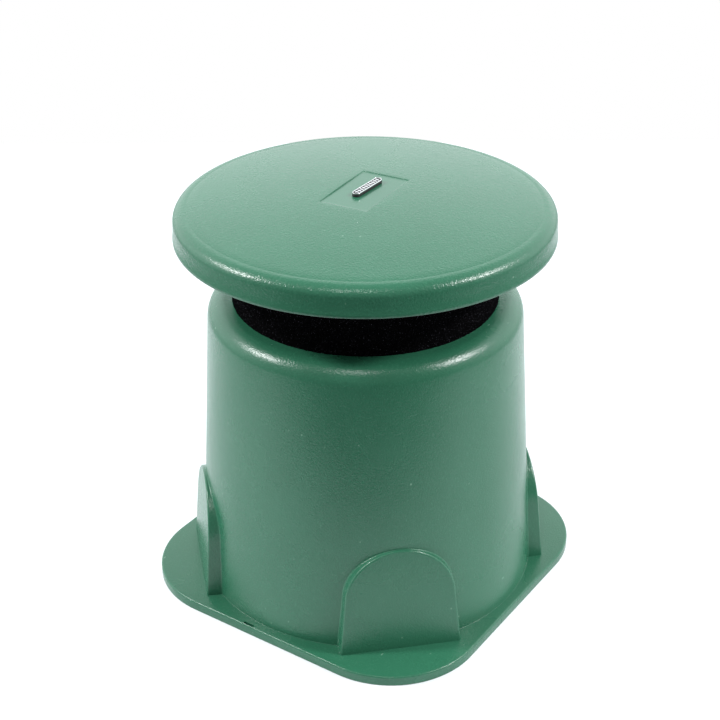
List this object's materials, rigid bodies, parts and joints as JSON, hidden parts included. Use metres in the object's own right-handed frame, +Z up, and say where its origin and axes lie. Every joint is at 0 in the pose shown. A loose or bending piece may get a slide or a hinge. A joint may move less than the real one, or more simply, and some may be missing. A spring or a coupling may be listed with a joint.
{
  "type": "garden loudspeaker",
  "caption": "Outdoor loudspeaker with a tapered green housing on a square flange, a foam-covered sound gap and a wide domed cap.",
  "frame": {"origin": "middle of the flange's underside, on the ground", "axes": "+Z up along the housing's axis; X and Y along the flange's straight sides"},
  "size_m": [0.32, 0.32, 0.3667],
  "materials": {
    "green_plastic": "fine moulded grain, satin",
    "black_plastic": "moulded, satin",
    "foam": "open-cell foam, matt",
    "rubber": "matt",
    "zinc_steel": "zinc plated",
    "chrome": "polished",
    "black_steel": "satin",
    "ferrite": "ground",
    "cone_paper": "pressed pulp",
    "spider_cloth": "resin-dipped weave",
    "coil_tape": "tape",
    "copper": "enamelled",
    "lead_red": "insulation",
    "lead_black": "insulation"
  },
  "bodies": {
    "enclosure": {"badge_plate": "black_plastic", "badge_rim": "chrome", "base_gasket": "rubber", "base_plate": "black_plastic", "base_screw_1": "zinc_steel", "base_screw_2": "zinc_steel", "base_screw_3": "zinc_steel", "base_screw_4": "zinc_steel", "base_screw_5": "zinc_steel", "base_screw_6": "zinc_steel", "base_screw_7": "zinc_steel", "base_screw_8": "zinc_steel", "cable_well": "black_plastic", "cage": "black_plastic", "cage_screw_1": "zinc_steel", "cage_screw_2": "zinc_steel", "cage_screw_3": "zinc_steel", "cage_screw_4": "zinc_steel", "cap": "green_plastic", "cap_screw_1": "zinc_steel", "cap_screw_2": "zinc_steel", "cap_screw_3": "zinc_steel", "cap_screw_4": "zinc_steel", "diffuser": "black_plastic", "driver_basket": "black_steel", "driver_gasket": "rubber", "foam_sleeve": "foam", "front_plate": "zinc_steel", "gland_body": "black_plastic", "gland_locknut": "black_plastic", "gland_nut": "black_plastic", "gland_seal": "rubber", "housing": "green_plastic", "inlet_terminal_block": "black_plastic", "lead_negative": "lead_black", "lead_positive": "lead_red", "magnet": "ferrite", "pole_piece": "zinc_steel", "selector_nut": "zinc_steel", "selector_switch": "black_plastic", "selector_well": "black_plastic", "spider": "spider_cloth", "surround": "rubber", "terminal_strip": "coil_tape", "tinsel_lead_negative": "copper", "tinsel_lead_positive": "copper", "transformer_bracket": "zinc_steel", "transformer_coil": "coil_tape", "transformer_core": "black_steel", "transformer_screw_1": "zinc_steel", "transformer_screw_2": "zinc_steel"},
    "diaphragm": {"cone": "cone_paper", "whizzer_cone": "cone_paper", "dust_cap": "cone_paper", "coil_former": "coil_tape", "coil_winding": "copper"},
    "tap_selector": {"selector_knob": "black_plastic"}
  },
  "joints": [
    {"name": "cone_travel", "type": "slide", "parent": "enclosure", "child": "diaphragm", "axis": [0, 0, 1], "range_m": [-0.004, 0.004], "stiffness_N_per_m": 2000, "deforming": ["surround", "spider", "tinsel_lead_positive", "tinsel_lead_negative"]},
    {"name": "tap_selector_turn", "type": "hinge", "parent": "enclosure", "child": "tap_selector", "pos_m": [0.072, 0, 0.012], "axis": [0, 0, 1], "range_deg": [0, 150]}
  ]
}
